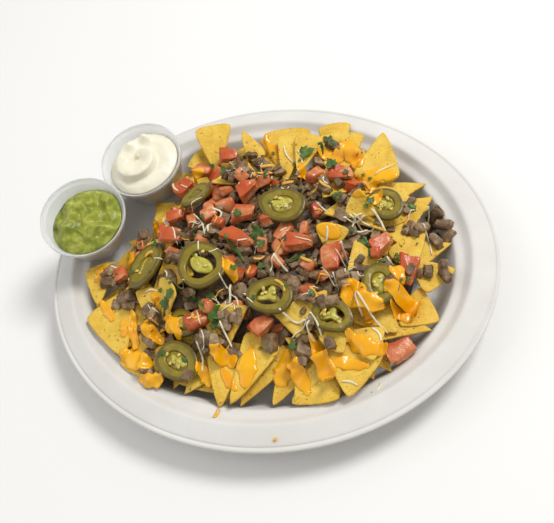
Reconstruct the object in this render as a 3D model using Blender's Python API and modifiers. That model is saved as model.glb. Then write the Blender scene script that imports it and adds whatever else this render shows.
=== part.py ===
"""Loaded nachos on an oval moulded-fibre platter, with two portion cups of dip.

The platter is a loft of ovals with a wall of even thickness. The heap fills its well, and the pieces that can
be told apart lie on it: tortilla chips, slices of pickled green pepper and chunks of tomato. Each piece is given
by its place, its size and how it leans. The pieces go on from the lowest up, lifted where they would otherwise
cut into one another, then the two cups, and last the heap, which is moulded to the undersides of them all.
The platter's long side runs along X. The origin is at the centre of its base.
"""

import math
from collections import namedtuple

import bmesh
import bpy
import numpy as np
from mathutils import Matrix, Vector

MM = 0.001

# Driving dimensions, in millimetres.
PLATE_LENGTH = 318.0
PLATE_WIDTH = 270.0
PLATE_WALL = 2.0
PLATE_SEGMENTS = 48
CUP_SEGMENTS = 24
CUP_WALL_GAP = 0.3
HEAP_TOP = 46.0
HEAP_FOOT = 10.0
HEAP_SHOULDER = 2.4
HEAP_SEGMENTS = 48
HEAP_RINGS = 9
CHIP_THICKNESS = 1.8
PEPPER_THICKNESS = 5.0
PEPPER_SEGMENTS = 16
REST_GAP = 0.3

# The platter's upper surface: (distance in from the outer edge, height).
PLATE_PROFILE = [
    (0.0, 20.4),
    (0.3, 21.6),
    (1.9, 22.1),
    (2.7, 21.5),
    (3.6, 22.5),
    (9.0, 23.9),
    (14.6, 25.0),
    (18.6, 22.7),
    (21.4, 20.9),
    (25.4, 20.2),
    (27.4, 18.8),
    (35.0, 7.0),
    (41.5, 2.3),
]

# How far the heap reaches in each direction: (degrees from +X towards +Y, millimetres).
HEAP_OUTLINE = [
    (0, 116),
    (20, 114),
    (45, 98),
    (70, 88),
    (90, 86),
    (110, 88),
    (135, 96),
    (150, 84),
    (165, 82),
    (180, 86),
    (200, 96),
    (215, 108),
    (235, 96),
    (255, 88),
    (270, 86),
    (290, 84),
    (310, 92),
    (335, 108),
]

# A portion cup turned about its axis: (radius, height), up the inside, over the lip and down the outside.
CUP_PROFILE = [
    (0.0, 1.0),
    (21.3, 1.0),
    (27.3, 27.0),
    (28.8, 28.6),
    (29.0, 31.0),
    (30.4, 31.0),
    (30.5, 28.8),
    (28.6, 27.6),
    (22.3, 0.6),
    (21.6, 0.0),
    (0.0, 0.0),
]
CUP_FLOOR, CUP_FLOOR_RADIUS = 1.0, 21.3
CUP_BRIM, CUP_BRIM_RADIUS = 27.0, 27.3

# x, y and z give the middle of a piece above the table, heading turns it about the vertical, and lean tips its
# upper face towards a compass direction. Angles are in degrees, counted from +X towards +Y.
Cup = namedtuple("Cup", "name x y z lean towards full_side crest swirl material")
Chip = namedtuple("Chip", "name x y z heading width length lean towards bend bend_heading")
Pepper = namedtuple("Pepper", "name x y z heading long short lean towards hollow")
Tomato = namedtuple("Tomato", "name x y z heading length width height lean towards taper")

CUPS = [
    Cup("sour_cream", -112, 43, 23, 13, -47, -45, 34.0, 1.0, "cream"),
    Cup("guacamole", -129, -17, 22, 17, -27, -40, 34.0, 1.6, "avocado"),
]

# bend is the radius that a chip is rolled to, 0 for a flat one, and bend_heading the way that its sides curl up.
CHIPS = [
    Chip("chip_back_1", -77, 67, 24, -12, 26, 32, 5, -42, 60, 80),
    Chip("chip_back_2", -73, 79, 32, -63, 32, 42, 12, -42, 38, 27),
    Chip("chip_back_3", -41, 81, 32, 143, 18, 28, 25, 0, 0, 0),
    Chip("chip_back_4", -14, 86, 28, -66, 40, 50, 8, -60, 45, 10),
    Chip("chip_back_5", 14, 107, 25, -68, 28, 32, 5, -60, 0, 0),
    Chip("chip_back_6", -9, 80, 33, -75, 22, 46, 10, -60, 40, 15),
    Chip("chip_back_7", 25, 90, 30, -68, 44, 40, 8, -60, 60, 20),
    Chip("chip_back_8", 4, 83, 36, -85, 24, 34, 10, -60, 45, 5),
    Chip("chip_right_1", 80, 55, 26, 20, 44, 38, 6, 20, 70, 110),
    Chip("chip_back_9", 58, 85, 30, 102, 36, 42, 8, -60, 60, 12),
    Chip("chip_right_2", 100, 25, 28, 73, 24, 30, 10, -30, 60, 160),
    Chip("chip_right_3", 120, 11, 25, 34, 25, 24, 10, -30, 50, 124),
    Chip("chip_right_4", 119, -13, 22, -7, 32, 22, 8, -30, 60, 80),
    Chip("chip_right_5", 101, -45, 25, 59, 26, 20, 12, -40, 0, 0),
    Chip("chip_right_6", 96, -24, 30, -24, 34, 32, 14, -40, 70, 66),
    Chip("chip_front_1", 96, -61, 20, -77, 40, 32, 14, -40, 55, 13),
    Chip("chip_front_2", 78, -78, 18, -130, 32, 30, 10, -60, 22, -40),
    Chip("chip_front_3", 83, -51, 30, 77, 20, 16, 18, -40, 0, 0),
    Chip("chip_front_4", 58, -79, 20, -100, 20, 28, 12, -60, 45, -10),
    Chip("chip_front_5", 36, -77, 26, -96, 28, 50, 12, -60, 70, -6),
    Chip("chip_front_6", 20, -88, 22, -74, 26, 36, 10, -70, 40, 16),
    Chip("chip_front_7", 0, -91, 18, -19, 30, 34, 8, -80, 0, 0),
    Chip("chip_left_1", -72, -78, 24, -44, 42, 52, 10, -130, 70, 46),
    Chip("chip_left_2", -38, -93, 22, -154, 46, 34, 8, -110, 0, 0),
    Chip("chip_left_3", -101, -52, 25, -60, 28, 37, 8, -160, 45, 30),
    Chip("chip_left_4", -52, -59, 34, -69, 18, 20, 28, -60, 0, 0),
    Chip("chip_left_5", -30, -59, 38, -117, 22, 34, 55, -120, 40, -27),
    Chip("chip_middle_1", 55, 13, 44, -80, 24, 18, 35, -60, 30, 10),
    Chip("chip_middle_2", 66, 37, 42, -9, 22, 20, 45, -60, 34, 81),
]

TOMATOES = [
    Tomato("tomato_back_1", -53, 67, 36, 20, 17, 14, 9, 12, -42, 0.7),
    Tomato("tomato_back_2", -71, 31, 38, 70, 19, 15, 12, 10, -42, 0.8),
    Tomato("tomato_back_3", -64, 48, 39, 0, 16, 11, 10, 10, -42, 0.8),
    Tomato("tomato_back_4", -17, 35, 46, 60, 20, 15, 12, 10, -42, 0.7),
    Tomato("tomato_back_5", 40, 65, 38, 10, 20, 16, 12, 8, -60, 0.8),
    Tomato("tomato_left_1", -60, 2, 44, 40, 14, 12, 10, 10, -42, 0.8),
    Tomato("tomato_left_2", -50, -17, 45, 10, 19, 13, 10, 8, -42, 0.8),
    Tomato("tomato_middle_1", -9, 14, 48, 20, 19, 16, 11, 8, -42, 0.8),
    Tomato("tomato_middle_2", -3, -5, 48, -10, 26, 13, 9, 8, -42, 0.8),
    Tomato("tomato_middle_3", 38, 3, 47, 20, 20, 12, 10, 8, -42, 0.8),
    Tomato("tomato_middle_4", 61, -3, 44, 110, 22, 17, 12, 12, -42, 0.6),
    Tomato("tomato_front_1", 36, -56, 40, 60, 18, 15, 10, 12, -60, 0.7),
    Tomato("tomato_right_1", 85, 19, 38, 60, 18, 14, 12, 10, -42, 0.8),
    Tomato("tomato_right_2", 107, 6, 34, -80, 24, 16, 10, 14, -30, 0.6),
    Tomato("tomato_right_3", 117, -41, 18, 45, 20, 15, 10, 12, -42, 0.8),
]

PEPPERS = [
    Pepper("pepper_back_1", -53, 22, 45, 80, 26, 22, 20, 150, False),
    Pepper("pepper_back_2", 16, 25, 50, 3, 34, 26, 8, -42, False),
    Pepper("pepper_right_1", 77, 48, 39, 155, 27, 23, 5, -42, False),
    Pepper("pepper_left_1", -61, -39, 43, 98, 38, 27, 18, 190, False),
    Pepper("pepper_left_2", -17, -32, 50, 146, 36, 32, 10, -42, True),
    Pepper("pepper_front_1", 37, -40, 47, 7, 31, 25, 6, -42, True),
    Pepper("pepper_right_2", 96, -11, 41, 103, 28, 24, 12, -42, False),
    Pepper("pepper_front_2", 78, -41, 42, 5, 27, 21, 12, -42, True),
    Pepper("pepper_front_3", -11, -91, 30, 168, 33, 25, 10, -60, False),
    Pepper("pepper_front_4", -17, -68, 36, 165, 22, 18, 10, -60, False),
]


def direction(degrees):
    """The level unit vector that points to this compass angle."""
    angle = math.radians(degrees)
    return Vector((math.cos(angle), math.sin(angle), 0))


def orientation(heading, lean=0.0, towards=0.0):
    """Turned to heading about the vertical, then tipped so that the upper face leans towards a direction."""
    hinge = Vector((0, 0, 1)).cross(direction(towards))
    tip = Matrix.Rotation(math.radians(lean), 4, hinge)
    return tip @ Matrix.Rotation(math.radians(heading), 4, "Z")


def make_material(name, colour, roughness):
    material = bpy.data.materials.new(name)
    material.use_nodes = True
    shader = material.node_tree.nodes["Principled BSDF"]
    shader.inputs["Base Color"].default_value = (*colour, 1.0)
    shader.inputs["Roughness"].default_value = roughness
    shader.inputs["Metallic"].default_value = 0.0
    return material


def add_object(name, points, faces, collection, material, edges=()):
    """A new object in the collection, from points in millimetres."""
    mesh = bpy.data.meshes.new(name)
    mesh.from_pydata((np.asarray(points, float) * MM).tolist(), list(edges), faces)
    mesh.shade_smooth()
    mesh.set_sharp_from_angle(angle=math.radians(40))
    mesh.materials.append(material)
    made = bpy.data.objects.new(name, mesh)
    collection.objects.link(made)
    return made


def loft(rings, close_first=True, close_last=True):
    """Points and faces of a skin over rings of equally many points, from the first ring to the last."""
    count, around = len(rings), len(rings[0])
    points = np.concatenate([np.asarray(ring, float) for ring in rings])
    faces = []
    for row in range(count - 1):
        for step in range(around):
            after = (step + 1) % around
            low, high = row * around, (row + 1) * around
            faces.append((low + step, low + after, high + after, high + step))
    if close_first:
        faces.append(tuple(reversed(range(around))))
    if close_last:
        faces.append(tuple(range((count - 1) * around, count * around)))
    return points, faces


def oval_ring(semi_x, semi_y, heights, around):
    """A level or wavy ring of points on an ellipse, counted anticlockwise from +X."""
    angle = np.linspace(0, 2 * np.pi, around, endpoint=False)
    x = semi_x * np.cos(angle)
    y = semi_y * np.sin(angle)
    return np.stack([x, y, np.broadcast_to(heights, x.shape)], axis=1)


def plate(collection, material):
    """The platter: ovals a steady distance in from the edge, lofted, with the wall thickness below them."""
    rings = [
        oval_ring(PLATE_LENGTH / 2 - inward, PLATE_WIDTH / 2 - inward, height, PLATE_SEGMENTS)
        for inward, height in PLATE_PROFILE
    ]
    rings.append(oval_ring(40, 30, PLATE_WALL, PLATE_SEGMENTS // 4 * 4))
    points, faces = loft(rings, close_first=False)
    made = add_object("plate", points, faces, collection, material)
    wall = made.modifiers.new("wall", "SOLIDIFY")
    wall.thickness = PLATE_WALL * MM
    wall.offset = -1.0
    return made


def smooth_bumps(x, y, wavelength, seed):
    """A gentle relief between about -1 and 1: waves of about one wavelength that run in five directions."""
    generator = np.random.default_rng(seed)
    total = np.zeros_like(np.asarray(x, float))
    for heading in np.linspace(0, np.pi, 5, endpoint=False):
        turn = heading + generator.uniform(-0.3, 0.3)
        waves = 2 * np.pi / (wavelength * generator.uniform(0.8, 1.25))
        total += np.sin(waves * (x * np.cos(turn) + y * np.sin(turn)) + generator.uniform(0, 2 * np.pi))
    return total / 3


def heap(collection, material, ceiling):
    """The pile of meat and chips: a dome with an uneven outline and lumps all over, moulded to what lies on it."""
    around = HEAP_SEGMENTS
    angle = np.linspace(0, 2 * np.pi, around, endpoint=False)
    bearings, reaches = zip(*HEAP_OUTLINE)
    reach = np.interp(np.degrees(angle), bearings + (360,), reaches + (reaches[0],))
    foot = PLATE_WALL + REST_GAP
    rings = [oval_ring(reach - 2, reach - 2, foot, around)]
    for share in np.linspace(1, 0.03, HEAP_RINGS + 1):
        oval = oval_ring(share * reach, share * reach, 0.0, around)
        dome = (1 - share**HEAP_SHOULDER) ** 0.8
        lumps = smooth_bumps(oval[:, 0], oval[:, 1], 26.0, seed=3) * 2.4 * dome
        oval[:, 2] = HEAP_FOOT + (HEAP_TOP - HEAP_FOOT) * dome + lumps
        rings.append(oval)
    points, faces = loft(rings)
    corners = [(face[0], face[i], face[i + 1]) for face in faces[: (HEAP_RINGS + 1) * around] for i in (1, 2)]
    for face in corners:
        excess = ceiling.excess(*points[list(face)])
        for corner in face:
            if corner >= around:
                points[corner, 2] = max(points[corner, 2] - excess, foot + 1.0)
    return add_object("heap", points, faces, collection, material)


def turned(name, profile, around, collection, material, closed=False):
    """A profile of (radius, height) turned about the vertical."""
    points = [(radius, 0.0, height) for radius, height in profile]
    count = len(points)
    edges = [(i, (i + 1) % count) for i in range(count if closed else count - 1)]
    made = add_object(name, points, [], collection, material, edges)
    screw = made.modifiers.new("turn", "SCREW")
    screw.steps = around
    screw.render_steps = around
    screw.use_merge_vertices = True
    screw.merge_threshold = 0.0001
    screw.use_normal_calculate = True
    return made


def dip(cup, collection, material):
    """The dip in a cup: it meets the wall high on its full side, and leaves the wall bare across from there."""
    angle = np.linspace(0, 2 * np.pi, CUP_SEGMENTS, endpoint=False)
    fullness = 0.5 + 0.5 * np.cos(angle - math.radians(cup.full_side - cup.towards))
    slope = (CUP_BRIM_RADIUS - CUP_FLOOR_RADIUS) / (CUP_BRIM - CUP_FLOOR)
    shore = 21.5 + 5.0 * fullness
    floor = CUP_FLOOR + CUP_WALL_GAP
    rings = [oval_ring(CUP_FLOOR_RADIUS - 0.7, CUP_FLOOR_RADIUS - 0.7, floor, CUP_SEGMENTS)]
    for share, climb in ((1.0, 0.0), (0.86, 0.55), (0.68, 0.85), (0.46, 1.0), (0.24, 0.92), (0.08, 0.86)):
        radius = (CUP_FLOOR_RADIUS + slope * (shore - CUP_FLOOR) - 0.5) * share
        crest = cup.crest - 3.5 * (1 - fullness) * share
        fold = cup.swirl * np.sin(2 * angle + 9 * share) * (1 - share) * share * 4
        ring = oval_ring(1.0, 1.0, 0.0, CUP_SEGMENTS) * np.stack([radius, radius, radius * 0], axis=1)
        ring[:, 2] = shore + (crest - shore) * climb + fold
        rings.append(ring)
    points, faces = loft(rings)
    return add_object(cup.name, points, faces, collection, material)


def chip(piece, collection, material):
    """A tortilla chip: a triangle with blunt corners and a bowed base, rolled to its bend, then thickened."""
    steps = 4
    apex = np.array([piece.length * 2 / 3, 0.0])
    base = [np.array([-piece.length / 3, side * piece.width / 2]) for side in (-1, 1)]
    points, rows = [], []
    for row in range(steps + 1):
        rows.append([])
        for column in range(row + 1):
            left = (row - column) / steps
            right = column / steps
            top = 1 - left - right
            blunt = 0.12 if max(top, left, right) == 1 else 0.0
            flat = (apex * top + base[0] * left + base[1] * right) * (1 - blunt)
            flat[0] -= 0.35 * piece.width * left * right
            rows[-1].append(len(points))
            points.append(rolled(flat, piece.bend, piece.bend_heading - piece.heading))
    faces = []
    for row in range(steps):
        upper, lower = rows[row], rows[row + 1]
        for column in range(row + 1):
            faces.append((upper[column], lower[column], lower[column + 1]))
            if column < row:
                faces.append((upper[column], lower[column + 1], upper[column + 1]))
    made = add_object(piece.name, points, faces, collection, material)
    wall = made.modifiers.new("thickness", "SOLIDIFY")
    wall.thickness = CHIP_THICKNESS * MM
    wall.offset = 0.0
    return made


def rolled(flat, bend, heading):
    """A point of a flat sheet after the sheet is rolled round a bar that lies across the heading."""
    if not bend:
        return (flat[0], flat[1], 0.0)
    along = direction(heading)
    across = Vector((-along.y, along.x, 0))
    reach = flat[0] * along.x + flat[1] * along.y
    aside = flat[0] * across.x + flat[1] * across.y
    place = along * (bend * math.sin(reach / bend)) + across * aside
    return (place.x, place.y, bend * (1 - math.cos(reach / bend)))


def pepper(piece, collection, material):
    """A slice of pickled pepper: a rounded ring of flesh, with the thin core across it unless it is hollow."""
    outer, thick = piece.long / 2, PEPPER_THICKNESS / 2
    inner = outer * 0.56
    flesh = [
        (inner, thick * 0.6),
        (inner + 1.0, thick),
        (outer - 1.2, thick),
        (outer, 0.0),
        (outer - 1.2, -thick),
        (inner + 1.0, -thick),
        (inner, -thick * 0.6),
    ]
    if not piece.hollow:
        flesh = [(0.0, thick * 0.6), *flesh, (0.0, -thick * 0.6)]
    made = turned(piece.name, flesh, PEPPER_SEGMENTS, collection, material, closed=piece.hollow)
    made.scale = (1.0, piece.short / piece.long, 1.0)
    return made


def tomato(piece, collection, material):
    """A diced chunk of tomato: a block that narrows towards one end, as cut from a rounded fruit."""
    shape = bmesh.new()
    bmesh.ops.create_cube(shape, size=1.0)
    for corner in shape.verts:
        narrow = piece.taper if corner.co.x > 0 else 1.0
        skin_side = 1.0 if corner.co.z > 0 else 0.86
        corner.co.x *= piece.length * skin_side
        corner.co.y *= piece.width * narrow * skin_side
        corner.co.z *= piece.height * narrow
        corner.co *= MM
    mesh = bpy.data.meshes.new(piece.name)
    shape.to_mesh(mesh)
    shape.free()
    mesh.materials.append(material)
    made = bpy.data.objects.new(piece.name, mesh)
    collection.objects.link(made)
    edges = made.modifiers.new("soft_edges", "BEVEL")
    edges.width = 1.6 * MM
    edges.segments = 1
    return made


class Pile:
    """Heights over each millimetre of the platter, seen from above: of what lies there, and of its underside."""

    def __init__(self):
        self.corner = np.array([-175.0, -150.0, 0.0])
        self.top = np.full((300, 350), -np.inf)
        self.underside = np.full((300, 350), np.inf)

    def surfaces(self, made):
        """The lowest and highest point of an object over each cell, and infinite where it has none."""
        bpy.context.view_layer.update()
        evaluated = made.evaluated_get(bpy.context.evaluated_depsgraph_get())
        mesh = evaluated.to_mesh()
        mesh.calc_loop_triangles()
        points = np.array([made.matrix_world @ vertex.co for vertex in mesh.vertices]) / MM
        triangles = [tuple(triangle.vertices) for triangle in mesh.loop_triangles]
        evaluated.to_mesh_clear()
        low = np.full(self.top.shape, np.inf)
        high = np.full(self.top.shape, -np.inf)
        for triangle in triangles:
            cells, height = self.cells(*points[list(triangle)])
            low[cells] = np.minimum(low[cells], height)
            high[cells] = np.maximum(high[cells], height)
        return low, high

    def cells(self, a, b, c):
        """The cells that a triangle covers, and its height over each."""
        a, b, c = a - self.corner, b - self.corner, c - self.corner
        first = np.floor(np.minimum(np.minimum(a, b), c)[:2]).astype(int)
        last = np.ceil(np.maximum(np.maximum(a, b), c)[:2]).astype(int)
        y, x = np.mgrid[first[1] : last[1] + 1, first[0] : last[0] + 1]
        area = (b[0] - a[0]) * (c[1] - a[1]) - (c[0] - a[0]) * (b[1] - a[1])
        if abs(area) < 1e-6:
            return (y[:0, 0], x[:0, 0]), x[:0, 0]
        share_b = ((x - a[0]) * (c[1] - a[1]) - (c[0] - a[0]) * (y - a[1])) / area
        share_c = ((b[0] - a[0]) * (y - a[1]) - (x - a[0]) * (b[1] - a[1])) / area
        inside = (share_b >= -0.02) & (share_c >= -0.02) & (share_b + share_c <= 1.02)
        height = a[2] + share_b * (b[2] - a[2]) + share_c * (c[2] - a[2])
        return (y[inside], x[inside]), height[inside]

    def excess(self, a, b, c):
        """How far a triangle reaches above the undersides, less the gap, or 0 if it is clear of them."""
        cells, height = self.cells(a, b, c)
        return max(0.0, np.max(height - self.underside[cells] + REST_GAP, initial=0.0))

    def add(self, made):
        """The object stays where it is."""
        low, high = self.surfaces(made)
        self.top = np.maximum(self.top, high)
        self.underside = np.minimum(self.underside, spread(low, np.minimum))

    def rest(self, made):
        """Lifts the object, where it has to be, to clear what lies below it."""
        low, _ = self.surfaces(made)
        covered = np.isfinite(low)
        overlap = np.max(spread(self.top, np.maximum)[covered] - low[covered]) + REST_GAP
        made.location.z += max(0.0, overlap) * MM
        self.add(made)


def spread(heights, choose):
    """Each cell takes the lowest or highest of itself and its eight neighbours."""
    wide = heights.copy()
    for turn_y in (-1, 0, 1):
        for turn_x in (-1, 0, 1):
            wide = choose(wide, np.roll(heights, (turn_y, turn_x), (0, 1)))
    return wide


def place(made, piece, heading):
    """Turns the object and puts its middle where the piece says."""
    made.rotation_euler = orientation(heading, piece.lean, piece.towards).to_euler()
    made.location = (piece.x * MM, piece.y * MM, piece.z * MM)


def new_collection(name):
    made = bpy.data.collections.new(name)
    bpy.context.scene.collection.children.link(made)
    return made


def build():
    for old in list(bpy.data.objects):
        bpy.data.objects.remove(old)
    collection = new_collection("nachos")
    materials = {
        "fibre": make_material("fibre", (0.74, 0.71, 0.65), 0.8),
        "plastic": make_material("plastic", (0.75, 0.77, 0.77), 0.3),
        "cream": make_material("cream", (0.87, 0.83, 0.66), 0.35),
        "avocado": make_material("avocado", (0.30, 0.34, 0.06), 0.45),
        "meat": make_material("meat", (0.13, 0.075, 0.045), 0.6),
        "corn": make_material("corn", (0.62, 0.38, 0.06), 0.7),
        "pickle": make_material("pickle", (0.15, 0.12, 0.01), 0.3),
        "fruit": make_material("fruit", (0.55, 0.12, 0.04), 0.3),
    }
    pile = Pile()
    base = plate(collection, materials["fibre"])
    pile.top = np.maximum(pile.top, pile.surfaces(base)[1])
    kinds = [(CHIPS, chip, "corn"), (TOMATOES, tomato, "fruit"), (PEPPERS, pepper, "pickle")]
    pieces = [(piece, maker, material) for table, maker, material in kinds for piece in table]
    for piece, maker, material in sorted(pieces, key=lambda entry: entry[0].z):
        made = maker(piece, collection, materials[material])
        place(made, piece, piece.heading)
        pile.rest(made)
    for cup in CUPS:
        made = turned(f"cup_{cup.name}", CUP_PROFILE, CUP_SEGMENTS, collection, materials["plastic"])
        place(made, cup, cup.towards)
        pile.rest(made)
        filling = dip(cup, collection, materials[cup.material])
        filling.rotation_euler = made.rotation_euler
        filling.location = made.location
    heap(collection, materials["meat"], pile)


build()
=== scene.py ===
"""Loaded nachos on a moulded-fibre platter: fried corn chips, chopped steak, melted cheese, pickled peppers,
diced tomato and herbs, with a cup of sour cream and a cup of guacamole leaning on the rim.

Every shape is a grid of points worked out with numpy, in millimetres, and becomes a mesh in metres.
"""

import math

import bmesh
import bpy
import numpy as np
from mathutils import Matrix, Vector
from mathutils.bvhtree import BVHTree


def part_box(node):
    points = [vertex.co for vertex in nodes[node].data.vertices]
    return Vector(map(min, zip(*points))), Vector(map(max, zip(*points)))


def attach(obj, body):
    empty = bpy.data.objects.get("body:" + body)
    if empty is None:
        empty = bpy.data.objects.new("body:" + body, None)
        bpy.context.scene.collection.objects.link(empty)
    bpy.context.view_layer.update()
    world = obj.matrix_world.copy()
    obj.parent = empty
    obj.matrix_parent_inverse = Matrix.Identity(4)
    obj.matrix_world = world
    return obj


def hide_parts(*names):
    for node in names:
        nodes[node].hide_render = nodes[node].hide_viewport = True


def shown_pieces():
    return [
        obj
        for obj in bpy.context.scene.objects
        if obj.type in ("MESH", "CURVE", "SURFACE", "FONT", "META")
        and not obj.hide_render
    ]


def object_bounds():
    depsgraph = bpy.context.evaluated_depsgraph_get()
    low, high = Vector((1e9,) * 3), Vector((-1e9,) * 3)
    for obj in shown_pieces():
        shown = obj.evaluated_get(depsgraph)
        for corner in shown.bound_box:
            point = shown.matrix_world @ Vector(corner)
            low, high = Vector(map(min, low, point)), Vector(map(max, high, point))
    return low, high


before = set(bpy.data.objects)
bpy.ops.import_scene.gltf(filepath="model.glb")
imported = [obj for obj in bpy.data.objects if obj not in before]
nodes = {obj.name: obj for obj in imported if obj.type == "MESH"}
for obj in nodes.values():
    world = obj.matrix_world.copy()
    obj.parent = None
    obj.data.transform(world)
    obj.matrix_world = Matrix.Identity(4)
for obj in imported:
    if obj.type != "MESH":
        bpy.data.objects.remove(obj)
cad_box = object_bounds()
scene = bpy.context.scene
MM = 0.001
TAU = 2 * np.pi


# ---------------------------------------------------------------- shapes


def node_points(name):
    """The separate corners of a CAD node, in millimetres."""
    mesh = nodes[name].data
    flat = np.zeros(len(mesh.vertices) * 3)
    mesh.vertices.foreach_get("co", flat)
    return np.unique(np.round(flat.reshape(-1, 3) / MM, 3), axis=0)


def surfaces(name, grids, material, slot, close_rows=False, replaced=(), sharp=0, **values):
    """One piece from grids shaped (copies, rows, columns, 3): each row is a closed ring of columns, the rows
    follow one another, and rows that are a single point are closed to it. Edges bent more than sharp degrees
    stay crisp, if it is given. values are per-point numbers that the material reads."""
    grids = np.asarray(grids, float)
    if grids.ndim == 3:
        grids = grids[None]
    copies, rows, columns, _ = grids.shape
    last = rows if close_rows else rows - 1
    row, column = np.meshgrid(np.arange(last), np.arange(columns), indexing="ij")
    after_row, after = (row + 1) % rows, (column + 1) % columns
    quads = np.stack(
        [
            row * columns + column,
            row * columns + after,
            after_row * columns + after,
            after_row * columns + column,
        ],
        axis=-1,
    ).reshape(-1, 4)
    quads = (quads[None] + (np.arange(copies) * rows * columns)[:, None, None]).reshape(-1, 4)
    mesh = bpy.data.meshes.new(name)
    mesh.from_pydata((grids.reshape(-1, 3) * MM).tolist(), [], quads.tolist())
    for key, value in values.items():
        layer = mesh.attributes.new(key, "FLOAT", "POINT")
        layer.data.foreach_set("value", np.broadcast_to(value, grids.shape[:3]).ravel().astype(np.float32))
    shape = bmesh.new()
    shape.from_mesh(mesh)
    bmesh.ops.remove_doubles(shape, verts=shape.verts, dist=1e-6)
    bmesh.ops.recalc_face_normals(shape, faces=shape.faces)
    shape.to_mesh(mesh)
    shape.free()
    mesh.shade_smooth()
    if sharp:
        mesh.set_sharp_from_angle(angle=math.radians(sharp))
    mesh.materials.append(material)
    piece = bpy.data.objects.new(name, mesh)
    scene.collection.objects.link(piece)
    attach(piece, "root")
    if replaced:
        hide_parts(*replaced)
    return piece


def lattice_noise(points, size, seed):
    """Random values at the corners of cubes of one size, eased between: from -1 to 1."""
    cell = np.asarray(points, float) / size
    low = np.floor(cell).astype(np.int64)
    ease = cell - low
    ease = ease * ease * (3 - 2 * ease)
    total = 0.0
    for corner in np.ndindex(2, 2, 2):
        at = low + corner
        mixed = at[..., 0] * 73856093 ^ at[..., 1] * 19349663 ^ at[..., 2] * 83492791 ^ (seed * 2654435 + 97)
        mixed = (mixed ^ (mixed >> 13)) * 1274126177 & 0x7FFFFFFF
        mixed = (mixed ^ (mixed >> 16)) * 461845907 & 0x7FFFFFFF
        share = np.prod(np.where(corner, ease, 1 - ease), axis=-1)
        total = total + share * (mixed / 0x3FFFFFFF - 1)
    return total


def lumps(points, size, seed, layers=3, fade=0.5):
    """Several noises, each half the size of the one before and weaker by fade."""
    return sum(lattice_noise(points, size / 2**k, seed + 31 * k) * fade**k for k in range(layers))


def principal_frame(points):
    """Middle of the points, and their axes as rows from the widest spread to the narrowest, which points up."""
    middle = points.mean(axis=0)
    _, _, axes = np.linalg.svd(points - middle)
    if axes[2, 2] < 0:
        axes[2] *= -1
    axes[1] = np.cross(axes[2], axes[0])
    return middle, axes


def unit(vector):
    return vector / np.linalg.norm(vector)


def compass(degrees):
    angle = np.radians(degrees)
    return np.stack([np.cos(angle), np.sin(angle)], axis=-1)


def ring(count):
    return np.arange(count) * TAU / count


# ---------------------------------------------------------------- finishes


def linear(hex_colour):
    """An sRGB colour such as "C8A05A" as the linear colour that a shader takes."""
    values = [int(hex_colour[i : i + 2], 16) / 255 for i in (0, 2, 4)]
    bent = [v / 12.92 if v <= 0.04045 else ((v + 0.055) / 1.055) ** 2.4 for v in values]
    return (*bent, 1.0)


def add_node(tree, kind, inputs=None, **settings):
    """A shader node with its settings, and inputs that are values or other nodes' sockets."""
    made = tree.nodes.new(kind)
    for key, value in settings.items():
        setattr(made, key, value)
    for key, value in (inputs or {}).items():
        if isinstance(value, bpy.types.NodeSocket):
            tree.links.new(value, made.inputs[key])
        else:
            made.inputs[key].default_value = value
    return made


def new_material(name, **constants):
    """A Principled material with its constant values set on the shader itself."""
    material = bpy.data.materials.new(name)
    material.use_nodes = True
    tree = material.node_tree
    shader = tree.nodes["Principled BSDF"]
    for key, value in constants.items():
        shader.inputs[key.replace("_", " ")].default_value = value
    place = tree.nodes.new("ShaderNodeTexCoord").outputs["Object"]
    return material, tree, shader, place


def noise(tree, place, millimetres, detail=3.0, rough=0.55):
    """Noise whose blotches are about so many millimetres wide."""
    inputs = {"Vector": place, "Scale": 1000.0 / millimetres, "Detail": detail, "Roughness": rough}
    return add_node(tree, "ShaderNodeTexNoise", inputs).outputs["Fac"]


def ramp(tree, factor, *stops):
    """Colours at positions from 0 to 1 along a factor."""
    made = add_node(tree, "ShaderNodeValToRGB", {"Fac": factor})
    elements = made.color_ramp.elements
    while len(elements) < len(stops):
        elements.new(0.5)
    for element, (position, colour) in zip(elements, stops):
        element.position = position
        element.color = linear(colour)
    return made.outputs["Color"]


def mixed(tree, factor, first, second):
    made = tree.nodes.new("ShaderNodeMix")
    made.data_type = "RGBA"
    for index, value in ((0, factor), (6, first), (7, second)):
        if isinstance(value, bpy.types.NodeSocket):
            tree.links.new(value, made.inputs[index])
        else:
            made.inputs[index].default_value = value
    return made.outputs[2]


def span(tree, value, low, high, to_low=0.0, to_high=1.0):
    """The value mapped from one range to another, and held at its ends."""
    inputs = {"Value": value, "From Min": low, "From Max": high, "To Min": to_low, "To Max": to_high}
    return add_node(tree, "ShaderNodeMapRange", inputs).outputs["Result"]


def bump(tree, shader, height, millimetres, under=None):
    inputs = {"Height": height, "Distance": millimetres * MM, "Strength": 1.0}
    if under:
        inputs["Normal"] = under
    made = add_node(tree, "ShaderNodeBump", inputs).outputs["Normal"]
    tree.links.new(made, shader.inputs["Normal"])
    return made


def attribute(tree, name):
    return add_node(tree, "ShaderNodeAttribute", attribute_name=name).outputs["Fac"]


def fibre_finish():
    """Moulded sugar-cane fibre: wet-pressed pulp, matt, with a fine screen grain and slow cloudy tone."""
    material, tree, shader, place = new_material("moulded_fibre", Roughness=0.82)
    tone = ramp(tree, noise(tree, place, 40, 4), (0.3, "D1CEC8"), (0.7, "DAD8D3"))
    tree.links.new(tone, shader.inputs["Base Color"])
    grain = bump(tree, shader, noise(tree, place, 0.9, 3), 0.12)
    bump(tree, shader, noise(tree, place, 9, 3), 0.25, grain)
    return material


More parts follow.
